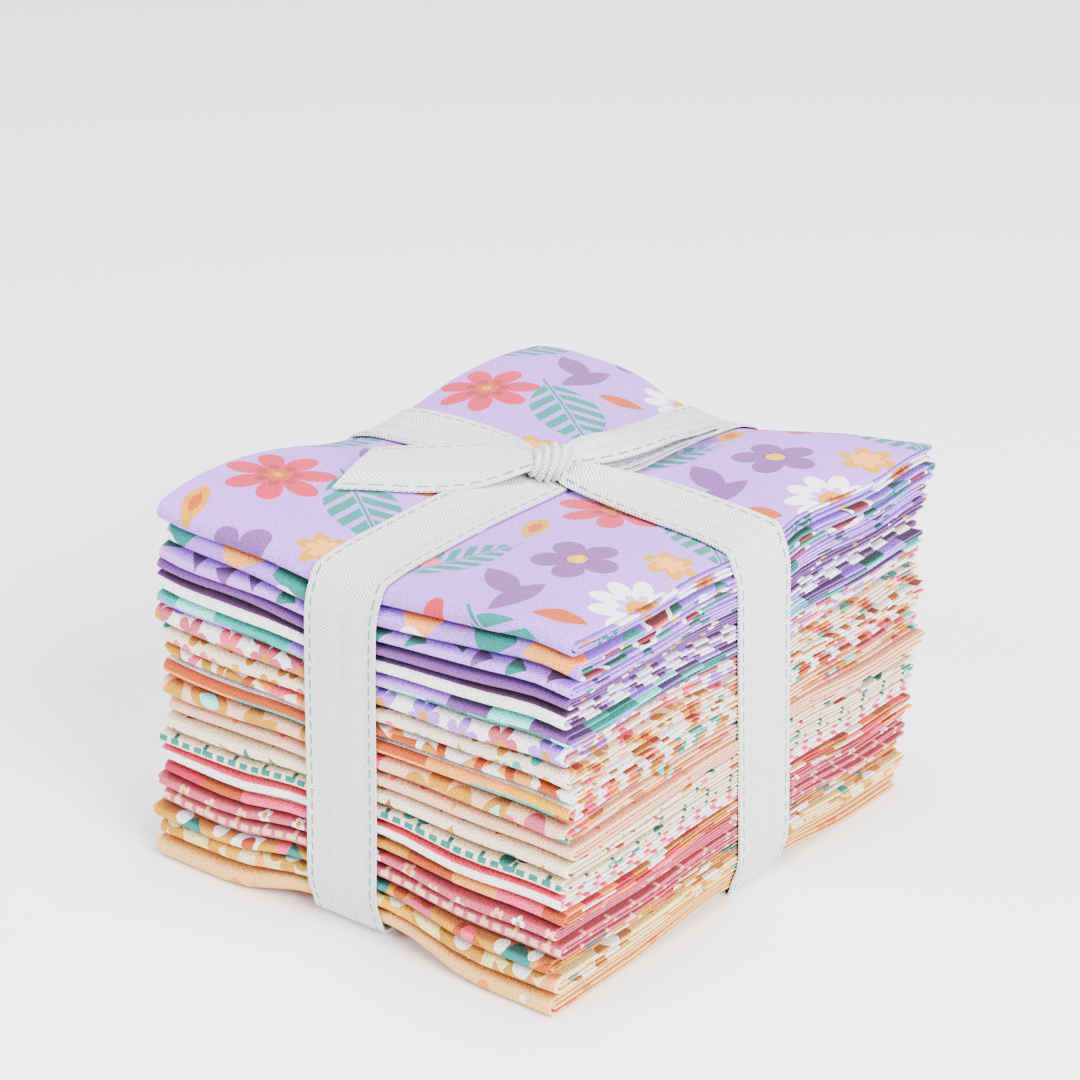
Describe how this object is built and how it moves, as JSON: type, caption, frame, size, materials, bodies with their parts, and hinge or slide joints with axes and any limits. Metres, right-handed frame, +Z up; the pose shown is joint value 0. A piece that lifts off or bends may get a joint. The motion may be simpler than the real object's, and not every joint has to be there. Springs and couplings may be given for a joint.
{
  "type": "fat quarter bundle",
  "caption": "Stack of folded printed cotton fat quarters, tied crosswise with a white twill ribbon that ends in a small one-loop bow on top.",
  "frame": {"origin": "middle of the stack's plan, on the surface that it stands on", "axes": "+X along the side that shows the wide folds, +Y along the side that shows the layers, +Z up"},
  "size_m": [0.1174, 0.1396, 0.096],
  "materials": {
    "cotton_01": "printed plain-weave cotton",
    "cotton_02": "printed plain-weave cotton",
    "cotton_03": "printed plain-weave cotton",
    "cotton_04": "printed plain-weave cotton",
    "cotton_05": "printed plain-weave cotton",
    "cotton_06": "printed plain-weave cotton",
    "cotton_07": "printed plain-weave cotton",
    "cotton_08": "printed plain-weave cotton",
    "cotton_09": "printed plain-weave cotton",
    "cotton_10": "printed plain-weave cotton",
    "cotton_11": "printed plain-weave cotton",
    "cotton_12": "printed plain-weave cotton",
    "cotton_13": "printed plain-weave cotton",
    "cotton_14": "printed plain-weave cotton",
    "cotton_15": "printed plain-weave cotton",
    "cotton_16": "printed plain-weave cotton",
    "cotton_17": "printed plain-weave cotton",
    "cotton_18": "printed plain-weave cotton",
    "cotton_19": "printed plain-weave cotton",
    "cotton_20": "printed plain-weave cotton",
    "cotton_21": "printed plain-weave cotton",
    "ribbon": "white twill tape"
  },
  "bodies": {
    "root": {"fat_quarter_01": "cotton_01", "fat_quarter_02": "cotton_02", "fat_quarter_03": "cotton_03", "fat_quarter_04": "cotton_04", "fat_quarter_05": "cotton_05", "fat_quarter_06": "cotton_06", "fat_quarter_07": "cotton_07", "fat_quarter_08": "cotton_08", "fat_quarter_09": "cotton_09", "fat_quarter_10": "cotton_10", "fat_quarter_11": "cotton_11", "fat_quarter_12": "cotton_12", "fat_quarter_13": "cotton_13", "fat_quarter_14": "cotton_14", "fat_quarter_15": "cotton_15", "fat_quarter_16": "cotton_16", "fat_quarter_17": "cotton_17", "fat_quarter_18": "cotton_18", "fat_quarter_19": "cotton_19", "fat_quarter_20": "cotton_20", "fat_quarter_21": "cotton_21", "ribbon_long_band": "ribbon", "ribbon_cross_band": "ribbon", "ribbon_knot": "ribbon", "ribbon_bow_loop": "ribbon", "ribbon_bow_tail": "ribbon"}
  },
  "joints": []
}
